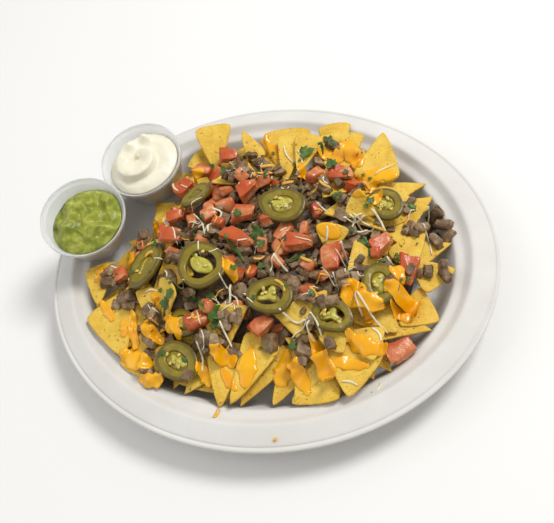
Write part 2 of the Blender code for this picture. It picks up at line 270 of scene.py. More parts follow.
def cup_finish():
    """Thin injection-moulded polypropylene: milky, clear enough to show what touches it, smooth outside."""
    material, tree, shader, place = new_material(
        "milky_polypropylene", Roughness=0.3, IOR=1.3, Transmission_Weight=0.6
    )
    shader.inputs["Base Color"].default_value = linear("F6F7F7")
    bump(tree, shader, noise(tree, place, 14, 1), 0.1)
    return material


def cream_finish():
    """Sour cream, spooned and smoothed: dense, wet, with soft light inside."""
    material, tree, shader, place = new_material("sour_cream", Roughness=0.32, Subsurface_Weight=0.12)
    shader.inputs["Subsurface Radius"].default_value = (0.004, 0.003, 0.002)
    shader.inputs["Subsurface Scale"].default_value = 1.0
    tone = ramp(tree, noise(tree, place, 22, 3), (0.3, "E8E1C8"), (0.7, "F1ECD8"))
    tree.links.new(tone, shader.inputs["Base Color"])
    bump(tree, shader, noise(tree, place, 5, 3), 0.15)
    return material


def avocado_finish():
    """Mashed avocado: pulp with paler and darker crushed lumps, moist."""
    material, tree, shader, place = new_material("mashed_avocado", Roughness=0.38, Subsurface_Weight=0.1)
    shader.inputs["Subsurface Radius"].default_value = (0.002, 0.003, 0.001)
    shader.inputs["Subsurface Scale"].default_value = 1.0
    blotch = noise(tree, place, 9, 5, 0.6)
    tone = ramp(tree, blotch, (0.32, "68721A"), (0.46, "8A942A"), (0.6, "A4A83E"), (0.7, "C6BE66"))
    tree.links.new(tone, shader.inputs["Base Color"])
    fine = bump(tree, shader, noise(tree, place, 2.0, 3), 0.3)
    bump(tree, shader, noise(tree, place, 5, 2), 0.6, fine)
    return material


def corn_finish():
    """Fried corn tortilla: dry, gritty with ground corn, toasted at edges and blisters, a few dark specks."""
    material, tree, shader, place = new_material("fried_corn", Roughness=0.62)
    tone = ramp(tree, noise(tree, place, 16, 5, 0.6), (0.28, "CC9C24"), (0.5, "E0B63A"), (0.72, "ECCA54"))
    toast = span(tree, attribute(tree, "edge"), 0.9, 1.0, 0.0, 0.3)
    tone = mixed(tree, toast, tone, linear("A87A22"))
    speck = span(tree, noise(tree, place, 2.2, 1), 0.67, 0.73, 0.0, 0.8)
    tone = mixed(tree, speck, tone, linear("7A5416"))
    pale = span(tree, noise(tree, place, 1.3, 2), 0.56, 0.7, 0.0, 0.5)
    tree.links.new(mixed(tree, pale, tone, linear("F0D06C")), shader.inputs["Base Color"])
    fine = bump(tree, shader, noise(tree, place, 1.0, 3), 0.35)
    bump(tree, shader, noise(tree, place, 4, 4), 0.7, fine)
    return material


def meat_finish():
    """Chopped grilled beef: seared brown faces, paler cut grain, a film of fat."""
    material, tree, shader, place = new_material("grilled_beef", Roughness=0.42)
    blotch = noise(tree, place, 4, 4, 0.6)
    seared = ramp(tree, blotch, (0.3, "382614"), (0.5, "62482C"), (0.7, "886C48"))
    cut = ramp(tree, blotch, (0.3, "725536"), (0.5, "947854"), (0.7, "B69E78"))
    tree.links.new(mixed(tree, attribute(tree, "cut"), seared, cut), shader.inputs["Base Color"])
    stretched = add_node(tree, "ShaderNodeMapping", {"Vector": place, "Scale": (1.0, 3.5, 1.0)})
    grain = bump(tree, shader, noise(tree, stretched.outputs["Vector"], 2.4, 4), 0.5)
    bump(tree, shader, noise(tree, place, 4, 3), 0.6, grain)
    return material


def core_finish():
    """The inside of the heap, seen in its gaps: brown food, darkened with painted shade for the shadow deep in the
    gaps.
    """
    material, tree, shader, place = new_material("heap_inside", Roughness=0.5)
    # Dark browns: the food's own brown, darkened with painted shade for the gaps between pieces.
    tone = ramp(tree, noise(tree, place, 10, 4), (0.3, "2E2016"), (0.55, "554032"), (0.75, "7A5A2E"))
    tree.links.new(tone, shader.inputs["Base Color"])
    bump(tree, shader, noise(tree, place, 5, 4), 1.2)
    return material


def cheese_finish():
    """Warm cheddar sauce: smooth, thick, glossy, deep orange-yellow."""
    material, tree, shader, place = new_material("cheese_sauce", Roughness=0.2, Subsurface_Weight=0.04)
    shader.inputs["Subsurface Radius"].default_value = (0.004, 0.002, 0.0005)
    shader.inputs["Subsurface Scale"].default_value = 1.0
    tone = ramp(tree, noise(tree, place, 20, 2), (0.3, "E69C04"), (0.7, "F2B40E"))
    tree.links.new(tone, shader.inputs["Base Color"])
    bump(tree, shader, noise(tree, place, 7, 2), 0.5)
    return material


def shred_finish(name, dark, light):
    """Grated cheese, softened by the heat: waxy, cut on four sides."""
    material, tree, shader, place = new_material(name, Roughness=0.38, Subsurface_Weight=0.2)
    shader.inputs["Subsurface Radius"].default_value = (0.002, 0.0015, 0.001)
    shader.inputs["Subsurface Scale"].default_value = 1.0
    tone = ramp(tree, noise(tree, place, 8, 3), (0.3, dark), (0.7, light))
    tree.links.new(tone, shader.inputs["Base Color"])
    bump(tree, shader, noise(tree, place, 1.2, 2), 0.15)
    return material


def pepper_finish():
    """Pickled jalapeno: dark waxy skin, olive flesh gone dull in brine, yellow-green pith."""
    material, tree, shader, place = new_material("pickled_pepper", Roughness=0.36, Coat_Weight=0.1)
    shader.inputs["Coat Roughness"].default_value = 0.12
    flesh = ramp(tree, noise(tree, place, 5, 4), (0.3, "766408"), (0.7, "8C7A12"))
    skin = ramp(tree, noise(tree, place, 8, 3), (0.3, "584A06"), (0.7, "6C5C08"))
    pith = ramp(tree, noise(tree, place, 3, 4), (0.3, "A09828"), (0.7, "C4BA4C"))
    zone = attribute(tree, "zone")
    tone = mixed(tree, span(tree, zone, 0.25, 0.6), skin, flesh)
    tone = mixed(tree, span(tree, zone, 1.2, 1.7), tone, pith)
    tree.links.new(tone, shader.inputs["Base Color"])
    bump(tree, shader, noise(tree, place, 2.2, 3), 0.3)
    return material


def seed_finish():
    """Pepper seeds: flat, cream-yellow, satin."""
    material, tree, shader, place = new_material("pepper_seed", Roughness=0.35)
    tone = ramp(tree, noise(tree, place, 2, 2), (0.3, "B8A040"), (0.7, "D9C66E"))
    tree.links.new(tone, shader.inputs["Base Color"])
    return material


def tomato_finish():
    """Diced tomato: glossy red skin on one side, wet paler flesh with a mealy grain on the cut sides."""
    material, tree, shader, place = new_material("diced_tomato", Roughness=0.24, Subsurface_Weight=0.05)
    shader.inputs["Subsurface Radius"].default_value = (0.004, 0.0015, 0.001)
    shader.inputs["Subsurface Scale"].default_value = 1.0
    skin = ramp(tree, noise(tree, place, 9, 3), (0.3, "B0461C"), (0.7, "C25A28"))
    flesh = ramp(tree, noise(tree, place, 5, 4, 0.6), (0.3, "BA5A2A"), (0.5, "CA7644"), (0.72, "E0A67C"))
    tree.links.new(mixed(tree, attribute(tree, "skin"), flesh, skin), shader.inputs["Base Color"])
    bump(tree, shader, noise(tree, place, 2.0, 4), 0.3)
    return material


def herb_finish():
    """Chopped coriander: thin leaf, a little translucent, paler underneath and at the veins."""
    material, tree, shader, place = new_material("chopped_herb", Roughness=0.45)
    tone = ramp(tree, noise(tree, place, 6, 3), (0.3, "2C4710"), (0.55, "42651A"), (0.75, "688430"))
    tree.links.new(tone, shader.inputs["Base Color"])
    bump(tree, shader, noise(tree, place, 1.2, 2), 0.15)
    return material


FIBRE = fibre_finish()
CUP = cup_finish()
CREAM = cream_finish()
AVOCADO = avocado_finish()
CORN = corn_finish()
MEAT = meat_finish()
CORE = core_finish()
CHEESE = cheese_finish()
WHITE_SHRED = shred_finish("white_cheese", "D9CFA8", "EFE8CC")
YELLOW_SHRED = shred_finish("yellow_cheese", "DCA030", "E8B952")
PEPPER = pepper_finish()
SEED = seed_finish()
TOMATO = tomato_finish()
HERB = herb_finish()

# ---------------------------------------------------------------- platter

# The upper surface of the platter, as the CAD part has it: (distance in from the edge, height).
PLATTER_PROFILE = np.array(
    [
        (0.0, 20.4),
        (0.0, 21.3),
        (0.4, 21.85),
        (1.2, 22.1),
        (1.9, 22.0),
        (2.7, 21.5),
        (3.2, 22.1),
        (3.9, 22.6),
        (9.0, 23.9),
        (13.2, 24.8),
        (14.8, 25.0),
        (16.4, 24.6),
        (18.6, 22.7),
        (20.6, 21.2),
        (22.2, 20.6),
        (25.4, 20.2),
        (26.6, 19.7),
        (27.8, 18.4),
        (35.0, 7.2),
        (38.0, 4.0),
        (41.5, 2.4),
        (46.0, 2.0),
        (70.0, 2.0),
        (134.9, 2.0),
    ]
)


def platter():
    """Ovals a steady distance in from the edge. The profile runs up the outer edge, over the rim and down to
    the floor, and comes back below it, one wall's thickness down along the profile's normal."""
    length, width, _ = (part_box("plate")[1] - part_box("plate")[0]) / MM
    steps = np.linspace(0, 1, 5)[:-1]
    fine = [a + (b - a) * s for a, b in zip(PLATTER_PROFILE[:-1], PLATTER_PROFILE[1:]) for s in steps]
    over = np.array(fine + [PLATTER_PROFILE[-1]])
    soft = over.copy()
    soft[2:-2] = (over[:-4] + 2 * over[1:-3] + 3 * over[2:-2] + 2 * over[3:-1] + over[4:]) / 9
    tangent = np.gradient(soft, axis=0)
    normal = np.stack([-tangent[:, 1], tangent[:, 0]], axis=1)
    normal /= np.linalg.norm(normal, axis=1, keepdims=True)
    under = soft - 2.0 * normal
    under[:, 1] = np.maximum(under[:, 1], 0.0)
    outline = np.concatenate([under[::-1], soft])
    angle = ring(240)
    inward, height = outline[:, :1], outline[:, 1:]
    x = np.maximum(length / 2 - inward, 0.01) * np.cos(angle)
    y = np.maximum(width / 2 - inward, 0.01) * np.sin(angle)
    grid = np.stack([x, y, np.broadcast_to(height, x.shape)], axis=-1)
    grid = grid[1:-1]
    grid = np.concatenate([[[(0, 0, 0)] * len(angle)], grid, [[(0, 0, 2.0)] * len(angle)]])
    return surfaces("platter", grid, FIBRE, "fibre", replaced=["plate"])


platter()

# ---------------------------------------------------------------- cups and dips

# A cup's wall as (radius, height), from the middle of its floor up the inside, over the lip and down outside.
CUP_WALL = [
    (0.0, 1.0),
    (19.5, 1.0),
    (20.8, 1.3),
    (21.5, 2.2),
    (27.3, 27.2),
    (27.7, 28.2),
    (28.7, 28.8),
    (28.9, 29.3),
    (29.2, 30.7),
    (29.6, 31.0),
    (30.1, 31.0),
    (30.4, 30.7),
    (30.5, 29.0),
    (30.3, 28.6),
    (29.0, 27.9),
    (28.2, 27.4),
    (22.4, 1.4),
    (21.8, 0.4),
    (20.8, 0.0),
    (0.0, 0.0),
]


def cup_frame(node):
    """A cup's base centre and its axes: x to its lower side, z along the cup."""
    points = node_points(node)
    middle, axes = principal_frame(points)
    axis = axes[2]
    side = unit(np.array([axis[0], axis[1], 0.0]))
    side = unit(side - axis * (side @ axis))
    base = middle + axis * np.min((points - middle) @ axis)
    return base, np.stack([side, np.cross(axis, side), axis])


def turned(profile, count):
    """A profile of (radius, height) carried round the z axis."""
    profile = np.asarray(profile, float)
    angle = ring(count)
    radius, height = profile[:, :1], profile[:, 1:] + 0 * angle
    return np.stack([radius * np.cos(angle), radius * np.sin(angle), height], axis=-1)


def cup_radius(height):
    return 21.5 + 5.8 * np.clip((height - 2.2) / 25.0, 0, 1)


def dip_surface(shore_low, shore_high, crest, full_side, relief, floor=1.3):
    """A dip in cup coordinates: rings from the floor's middle out, up the wall to the shore, and in over the
    top. The shore is high towards full_side. Inside it the surface climbs to the crest, plus its relief."""
    angle = ring(180)
    toward = 0.5 + 0.5 * np.cos(angle - math.radians(full_side))
    shore = shore_low + (shore_high - shore_low) * toward
    rows = [np.stack([0 * angle, 0 * angle, 0 * angle + floor], axis=-1)]
    for share in (0.5, 0.9, 1.0):
        radius = (cup_radius(floor) - 0.5) * share
        rows.append(np.stack([radius * np.cos(angle), radius * np.sin(angle), 0 * angle + floor], axis=-1))
    for share in (0.35, 0.7, 0.97):
        height = floor + (shore - floor) * share
        radius = cup_radius(height) - 0.4
        rows.append(np.stack([radius * np.cos(angle), radius * np.sin(angle), height], axis=-1))
    for share in np.linspace(1, 0, 52):
        radius = (cup_radius(shore) - 0.4) * share**0.8
        rise = 1 - share**2.6
        height = shore + (crest - shore) * rise
        x, y = radius * np.cos(angle), radius * np.sin(angle)
        if share == 0:
            height = 0 * height + np.mean(height)
        else:
            height = height + relief(x, y, angle, share) * min(1.0, 5 * (1 - share) + 0.15)
        rows.append(np.stack([x, y, height], axis=-1))
    return np.array(rows)


def cream_relief(x, y, angle, share):
    """A spoon's spiral: folds that climb slowly, drop off steeply and wind in, and two torn peaks on the far
    side."""
    wound = (angle + 8.5 * share**0.8 + 0.9) / TAU % 1.0
    fold = np.clip(np.minimum(wound / 0.86, (1 - wound) / 0.14), 0, 1)
    fold = fold * fold * (3 - 2 * fold)
    peaks = 0.0
    for bearing, distance, tall in ((150, 17, 5.0), (196, 13, 3.2)):
        spot = distance * compass(bearing)
        peaks = peaks + tall * np.exp(-((x - spot[0]) ** 2 + (y - spot[1]) ** 2) / 14)
    place = np.stack([x, y, 0 * x], axis=-1)
    return (5.6 * fold - 2.2) * math.sin(math.pi * min(share + 0.12, 0.95)) + peaks + 0.5 * lumps(place, 7, 3)


def mash_relief(x, y, angle, share):
    """Spooned lumps, ridged where the mash tore, with a slow swirl through them."""
    place = np.stack([x, y, 0 * x], axis=-1)
    swirl = 1 - np.abs(np.sin(angle - 3.4 * share + 0.8)) ** 0.8
    torn = 1 - 2 * np.abs(lumps(place, 10, 15, 2, 0.5))
    relief = 3.4 * lumps(place, 12, 5, 3, 0.5) + 2.4 * torn + 3.0 * swirl * share**0.5 - 1.2
    return relief - 2.2 * np.clip(-x / 20, 0, 1)


for node, dip, finish, slot, relief, shore in (
    ("cup_sour_cream", "sour_cream", CREAM, "cream", cream_relief, (21.5, 29.5, 33.5, 25)),
    ("cup_guacamole", "guacamole", AVOCADO, "avocado", mash_relief, (19.0, 28.5, 33.0, 20)),
):
    base, axes = cup_frame(node)
    wall = turned(CUP_WALL, 128) @ axes + base
    surfaces(f"portion_{node}", wall, CUP, "plastic", replaced=[node])
    low, high, crest, side = shore
    filling = dip_surface(low, high, crest, side, relief)
    filling = filling @ axes + base
    filling[..., 2] = np.minimum(filling[..., 2], cad_box[1][2] / MM - 0.3)
    surfaces(f"spooned_{dip}", filling, finish, slot, replaced=[dip])

# ---------------------------------------------------------------- chips


def chip_surface(middle, axes, reach, height, seed, thickness=1.7):
    """A fried chip. Its outline reaches reach(angle) from its middle, height(x, y) is its bent mid surface, and
    it is a lens of even thickness with a rounded edge, with small blisters that lift its upper face."""
    angle = ring(72)
    out = np.array([0.0, 0.2, 0.38, 0.54, 0.68, 0.8, 0.9, 0.96, 0.99])
    share = np.concatenate([out, [1.0], out[::-1]])[:, None]
    side = np.concatenate([np.ones(9), [0.0], -np.ones(9)])[:, None]
    taper = np.array([1, 1, 1, 1, 1, 1, 1, 0.92, 0.65])
    half = thickness / 2 * np.concatenate([taper, [0], taper[::-1]])[:, None]
    worn = lattice_noise(np.stack([7 * np.cos(angle)] * 3, -1), 2, seed)
    edge = reach(angle) * np.minimum(1 + 0.03 * worn, 1)
    x = share * edge * np.cos(angle)
    y = share * edge * np.sin(angle)
    place = np.stack([x, y, 0 * x + 50 * seed], axis=-1)
    blister = np.clip(lattice_noise(place, 9, seed + 3) - 0.25, 0, 1) * 2.0
    ripple = 0.8 * lattice_noise(place, 14, seed + 9) + 0.25 * lattice_noise(place, 5, seed)
    z = height(x, y) + ripple + side * (half + blister * (1 - share**4) * (side > 0))
    grid = x[..., None] * axes[0] + y[..., None] * axes[1] + z[..., None] * axes[2] + middle
    return grid, np.broadcast_to(share, x.shape)


def chip_from_node(node, seed):
    """Reads a CAD chip: the outline is the soft smallest of its straight-edge limits, and the mid surface is the
    closest quadratic."""
    points = node_points(node)
    middle, axes = principal_frame(points)
    flat = (points - middle) @ axes.T
    x, y, z = flat.T
    terms = np.stack([x * 0 + 1, x, y, x * x, x * y, y * y], axis=1)
    fit = np.linalg.lstsq(terms, z, rcond=None)[0]
    facing = compass(np.arange(0, 360, 5))
    limits = np.max(flat[:, :2] @ facing.T, axis=0) + 0.3

    def reach(angle):
        ratio = np.clip(compass(np.degrees(angle)) @ facing.T, 0, None) / limits
        return np.sum(ratio**60, axis=1) ** (-1 / 60)

    def height(x, y):
        return fit[0] + fit[1] * x + fit[2] * y + fit[3] * x * x + fit[4] * x * y + fit[5] * y * y

    return chip_surface(middle, axes, reach, height, seed)


chip_nodes = sorted(name for name in nodes if name.startswith("chip_"))
for seed, node in enumerate(chip_nodes):
    grid, edge = chip_from_node(node, seed + 1)
    surfaces(f"fried_{node}", grid, CORN, "corn", replaced=[node], edge=edge)

# More chips, most of them half buried: x, y, height, heading, width, length, lean, direction of lean, bend.
BURIED_CHIPS = [
    (48, -84, 17, -100, 38, 46, 12, -75, 60),
    (26, -92, 14, -85, 36, 40, 10, -80, 0),
    (88, -70, 15, -60, 40, 42, 10, -50, 50),
    (72, -62, 27, -95, 40, 44, 16, -50, 60),
    (110, -48, 16, -30, 40, 44, 10, -30, 70),
    (112, -30, 18, 10, 38, 46, 8, -20, 60),
    (90, -40, 24, -50, 40, 44, 12, -40, 0),
    (112, 26, 17, 40, 40, 44, 10, 10, 0),
    (88, 50, 24, 60, 44, 46, 10, 40, 60),
    (70, 66, 25, 40, 44, 50, 12, 60, 0),
    (44, 86, 20, 90, 44, 48, 10, 80, 60),
    (20, 82, 24, -90, 40, 50, 12, 90, 60),
    (-20, 76, 26, -70, 40, 46, 14, 100, 0),
    (-50, 72, 24, -40, 40, 44, 12, 110, 50),
    (-88, 52, 15, 160, 40, 40, 10, 150, 0),
    (-84, -12, 20, 175, 40, 42, 16, 180, 60),
    (-84, 14, 26, 150, 30, 34, 20, 170, 50),
    (-92, -38, 22, -150, 44, 46, 16, 190, 60),
    (-86, -62, 17, -150, 40, 46, 12, 220, 60),
    (-56, -82, 20, -120, 44, 48, 12, 250, 60),
    (-14, -88, 16, -90, 42, 46, 12, 270, 0),
    (8, -80, 24, -110, 40, 44, 12, 280, 60),
    (40, 60, 34, 30, 36, 40, 20, 80, 50),
    (60, 40, 38, -20, 36, 40, 16, 40, 0),
    (10, -62, 36, -80, 36, 40, 24, -90, 50),
    (60, -44, 36, -50, 38, 42, 20, -50, 0),
    (-40, -40, 40, -120, 36, 40, 18, -130, 50),
    (-66, -24, 35, 150, 34, 40, 22, 180, 50),
    (-36, 52, 36, 110, 36, 40, 22, 110, 50),
    (84, 0, 36, 10, 36, 40, 18, 0, 50),
]


def leaning_frame(heading, lean, towards):
    """Axes as rows: z is up, tipped by lean towards a direction, and x is the heading on the tipped plane."""
    tip = math.radians(lean)
    aim = compass(towards)
    up = np.array([math.sin(tip) * aim[0], math.sin(tip) * aim[1], math.cos(tip)])
    ahead = np.append(compass(heading), 0.0)
    ahead = unit(ahead - up * (ahead @ up))
    return np.stack([ahead, np.cross(up, ahead), up])


def platter_height(x, y):
    """Height of the platter's upper surface: the distance in from the edge is found by halving."""
    low, high = np.full(np.shape(x), -30.0), np.full(np.shape(x), 134.0)
    for _ in range(24):
        middle = (low + high) / 2
        outside = (x / (159 - middle)) ** 2 + (y / (135 - middle)) ** 2 > 1
        low, high = np.where(outside, low, middle), np.where(outside, middle, high)
    return np.interp(low, *PLATTER_PROFILE.T)


def buried_chips():
    """Triangles with bowed sides: the outline is the soft smallest of three straight limits. Each moves in and
    up a little at a time until it is clear of the platter."""
    grids, edges = [], []
    for seed, (x, y, z, heading, width, length, lean, towards, bend) in enumerate(BURIED_CHIPS):
        axes = leaning_frame(heading, lean, towards)
        slant = math.atan2(width / 2, length)
        facing = compass(np.array([180, 90 - math.degrees(slant), math.degrees(slant) - 90]))
        limits = length * np.array([1 / 3, 2 / 3 * math.sin(slant), 2 / 3 * math.sin(slant)])

        def reach(angle):
            ratio = np.clip(compass(np.degrees(angle)) @ facing.T, 0, None) / limits
            return np.sum(ratio**36, axis=1) ** (-1 / 36)

        def height(across, along):
            return along * along / (2 * bend) if bend else 0 * along

        grid, edge = chip_surface(np.array([x, y, z], float), axes, reach, height, 60 + seed)
        inward = -unit(np.array([x, y, 0.0]))
        for _ in range(40):
            if np.min(grid[..., 2] - platter_height(grid[..., 0], grid[..., 1])) > 0.3:
                break
            grid = grid + inward * 0.8 + np.array([0, 0, 0.4])
        grids.append(grid)
        edges.append(edge)
    return surfaces("buried_chips", np.array(grids), CORN, "corn", edge=np.array(edges))


buried_chips()

# ---------------------------------------------------------------- pickled peppers


# Slices whose middle isn't full of pith, and for each look the share of the radius that is half the flesh.
SLICES = {
    "pepper_left_2": "clump",
    "pepper_front_1": "spokes",
    "pepper_front_2": "spokes",
    "pepper_back_1": "skin",
    "pepper_left_1": "slit",
}
BARS = {"full": 0.26, "spokes": 0.23, "clump": 0.2, "skin": 0.3, "slit": 0.3}


def pepper_slice(node, seed):
    """A cut slice. The flesh is a rounded bar carried round a slightly lobed oval. The pith inside it fills the
    ring, or bridges it with three spokes or one clump, and its pale part ends at a ragged star."""
    points = node_points(node)
    middle, axes = principal_frame(points)
    flat = (points - middle) @ axes.T
    long, short, thick = np.ptp(flat, axis=0) / 2
    look = SLICES.get(node, "full")
    rng = np.random.default_rng(seed)
    angle = ring(72)
    lobe = 1 - 0.03 * (1 + np.sin(3 * angle + rng.uniform(0, TAU))) - 0.012 * (1 + np.sin(5 * angle + seed))
    turn = ring(20)[:, None]
    bar = BARS[look] + 0.025 * np.sin(2 * angle + seed)
    across = np.sign(np.cos(turn)) * np.abs(np.cos(turn)) ** 0.55
    up = np.sign(np.sin(turn)) * np.abs(np.sin(turn)) ** 0.4
    share = lobe * (1 - bar + bar * across)
    x, y = share * long * np.cos(angle), share * short * np.sin(angle)
    wave = 0.5 * np.sin(2 * angle + seed) + 0.3 * np.sin(3 * angle)
    z = up * thick * 0.72 + wave * 0.5
    place = np.stack([x, y, z + 30 * seed], axis=-1)
    z = z + 0.25 * lumps(place, 4, seed, 2)
    grid = x[..., None] * axes[0] + y[..., None] * axes[1] + z[..., None] * axes[2] + middle
    zone = np.broadcast_to(np.clip(1.6 - 2.2 * (across + 0.25), 0, 1), x.shape)
    surfaces(f"pickled_{node}", grid, PEPPER, "pickle", True, [node], zone=zone)

    inner = (1 - 2 * bar) * lobe
    sideways = angle - math.atan2(axes[1][0], axes[0][0])
    star = 0.5 + 0.5 * np.cos(3 * sideways + 1.2)
    shapes = {
        "spokes": 0.5 + 0.6 * star**1.4,
        "clump": 0.97 / np.hypot(np.cos(sideways - 2.9), np.sin(sideways - 2.9) / 0.55),
    }
    reach = inner * shapes.get(look, 1.06)
    out = np.array([0, 0.2, 0.35, 0.5, 0.65, 0.78, 0.9, 1.0, 0.9, 0.65, 0.35, 0])[:, None]
    side = np.array([1, 1, 1, 1, 1, 1, 0.8, 0, -0.8, -1, -1, -1])[:, None]
    x, y = out * reach * long * np.cos(angle), out * reach * short * np.sin(angle)
    place = np.stack([x, y, 0 * x + 11 * seed], axis=-1)
    rough = lumps(place, 4.5, seed + 2, 3)
    crown = {"skin": 1.8, "slit": 1.4}.get(look, 1.0)
    z = side * (1.0 + crown * (1 - out)) + (0.3 if look in ("skin", "slit") else 1.0) * rough * (1 - out**6)
    grid = x[..., None] * axes[0] + y[..., None] * axes[1] + z[..., None] * axes[2] + middle
    edge = {
        "full": 0.74 + 0.12 * np.cos(5 * angle + seed) + 0.25 * rough,
        "spokes": 0.8 + 0.2 * rough,
        "clump": 1.1 + 0 * rough,
        "skin": -1 + 0 * rough,
        "slit": np.where(np.abs(out * np.sin(angle)) < 0.13, 0.8, -1.0),
    }[look]
    zone = 1.0 + 1.0 * np.clip((edge - out) * 5, 0, 1)
    if look == "skin":
        zone = zone * 0 + 0.45
    surfaces(f"pith_{node}", grid, PEPPER, "pickle", zone=zone)

    count = {"full": 8, "spokes": 4, "clump": 3, "slit": 2, "skin": 0}[look]
    if not count:
        return
    spots = rng.uniform(0.18, 0.62, count) * (0.7 + 0.3 * rng.uniform(0, 1, count))
    around = rng.uniform(0, TAU, count)
    row, column = np.linspace(0, np.pi, 6)[:, None], ring(8)[None]
    seeds = []
    for share, bearing in zip(spots, around):
        tilt, swing = rng.uniform(-0.5, 0.5), rng.uniform(0, TAU)
        x = 1.5 * np.sin(row) * np.cos(column) * (1 - 0.2 * np.cos(column))
        y = 1.15 * np.sin(row) * np.sin(column)
        z = 0.45 * np.cos(row) + 0 * column + tilt * x
        u = x * np.cos(swing) - y * np.sin(swing) + share * long * 0.9 * np.cos(bearing)
        v = x * np.sin(swing) + y * np.cos(swing) + share * short * 0.9 * np.sin(bearing)
        w = z + 1.9
        seeds.append(u[..., None] * axes[0] + v[..., None] * axes[1] + w[..., None] * axes[2] + middle)
    surfaces(f"seeds_{node}", np.array(seeds), SEED, "pickle")


for seed, node in enumerate(sorted(name for name in nodes if name.startswith("pepper_"))):
    pepper_slice(node, seed + 1)

# ---------------------------------------------------------------- diced tomato


def block_points(half, seed, rows=13, columns=20, square=0.42, rough=0.1):
    """A rounded block: a sphere's directions, each raised to a power that flattens six sides, times the half
    sizes, with the corners worn and the sides a little dished by noise."""
    tilt = np.linspace(0, np.pi, rows)[:, None]
    turn = ring(columns)[None]
    raised = [np.sin(tilt) * np.cos(turn), np.sin(tilt) * np.sin(turn), np.cos(tilt) + 0 * turn]
    raised = np.stack([np.sign(v) * np.abs(v) ** square for v in raised], axis=-1)
    raised /= np.max(np.abs(raised), axis=-1, keepdims=True) ** 0.55
    wobble = 1 + rough * lumps(raised * 1.2 + 17 * seed, 1.0, seed, 2)[..., None]
    return raised * wobble * half


def dice(node, seed):
    points = node_points(node)
    middle, axes = principal_frame(points)
    flat = (points - middle) @ axes.T
    half = np.ptp(flat, axis=0) / 2
    rng = np.random.default_rng(seed)
    block = block_points(half, seed, square=0.36, rough=0.2)
    block[..., 1] *= 1 - rng.uniform(0.1, 0.35) * block[..., 0] / half[0]
    block[..., 2] *= 1 - rng.uniform(0.0, 0.3) * block[..., 0] / half[0]
    block[..., 0] += rng.uniform(-0.3, 0.3) * block[..., 1] + rng.uniform(-0.3, 0.3) * block[..., 2]
    block *= half * 0.94 / np.max(np.abs(block), axis=(0, 1))
    on_top = (block[..., 2] / half[2] - 0.45) * 4
    on_side = block[..., 1] / half[1] * 2
    skin = np.clip(on_top if seed % 3 else on_side, 0, 1)
    grid = block @ axes + middle
    surfaces(f"cut_{node}", grid, TOMATO, "fruit", replaced=[node], sharp=50, skin=skin)


for seed, node in enumerate(sorted(name for name in nodes if name.startswith("tomato_"))):
    dice(node, seed + 1)

# ---------------------------------------------------------------- heap


class Ground:
    """What lies on the platter so far, for dropping things on."""

    def __init__(self):
        self.corners, self.triangles, self.kinds, self.tree = [], [], [], None

    def add(self, piece, kind):
        mesh = piece.data
        mesh.calc_loop_triangles()
        flat = np.zeros(len(mesh.vertices) * 3)
        mesh.vertices.foreach_get("co", flat)
        triangles = np.zeros(len(mesh.loop_triangles) * 3, dtype=int)
        mesh.loop_triangles.foreach_get("vertices", triangles)
        start = sum(len(part) for part in self.corners)
        self.corners.append(flat.reshape(-1, 3) / MM)
        self.triangles.append(triangles.reshape(-1, 3) + start)
        self.kinds.append(np.full(len(mesh.loop_triangles), kind))
        self.tree = None

    def drop(self, x, y, floor=2.0):
        """Height, facing and kind of the highest thing at a place."""
        if self.tree is None:
            self.tree = BVHTree.FromPolygons(
                np.concatenate(self.corners).tolist(), np.concatenate(self.triangles).tolist()
            )
            self.flat_kinds = np.concatenate(self.kinds)
        hit, facing, index, _ = self.tree.ray_cast(Vector((x, y, 200.0)), Vector((0, 0, -1)))
        if hit is None:
            return floor, np.array([0, 0, 1.0]), "none"
        facing = np.array(facing)
        return hit.z, facing if facing[2] > 0 else -facing, self.flat_kinds[index]

    def heights(self, x, y):
        return np.array([self.drop(a, b)[0] for a, b in zip(np.ravel(x), np.ravel(y))]).reshape(np.shape(x))


ground = Ground()
for piece in list(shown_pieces()):
    kind = piece.name.split("_")[0]
    if kind not in ("spooned", "portion") and piece.name != "heap":
        ground.add(piece, kind)
heap_points = node_points("heap")
heap_facing = compass(np.arange(0, 360, 4))
heap_limits = np.max(heap_points[:, :2] @ heap_facing.T, axis=0)


def heap_reach(angle):
    ratio = np.clip(compass(np.degrees(angle)) @ heap_facing.T, 0, None) / heap_limits
    return 1 / np.max(ratio, axis=-1)


def dome(x, y):
    """The heap's own height: a dome over its outline, steepest at its foot."""
    share = np.hypot(x, y) / heap_reach(np.arctan2(y, x))
    return 12 + 30 * np.clip(1 - share**2.4, 0, 1) ** 0.8


def heap_core():
    """Rings from the outline up over the dome, kept under the CAD heap and what is bedded in it, and lumpy."""
    angle = ring(110)
    rows = [np.stack([0 * angle, 0 * angle, 0 * angle + 2.3], axis=-1)]
    reach = heap_reach(angle)
    edge = compass(np.degrees(angle)) * (reach * 0.9)[:, None]
    rows.append(np.concatenate([edge, np.full((len(angle), 1), 2.3)], axis=1))
    cad = Ground()
    cad.add(nodes["heap"], "heap")
    for share in np.linspace(0.92, 0, 40):
        x, y = compass(np.degrees(angle)).T * reach * share
        top = cad.heights(x, y)
        z = 0.5 * (top + dome(x, y)) - 5.0
        z = np.maximum(z + 1.6 * lumps(np.stack([x, y, 0 * x], axis=-1), 13, 8), 3.0)
        if share == 0:
            z = 0 * z + z.mean()
        rows.append(np.stack([x, y, z], axis=-1))
    # The inside's finish is darkened with painted shade, for the shadow in the gaps between pieces.
    return surfaces("heap_inside", np.array(rows), CORE, "meat", replaced=["heap"])


ground.add(heap_core(), "core")

RNG = np.random.default_rng(11)
LUMP_ROWS, LUMP_COLUMNS = 7, 9


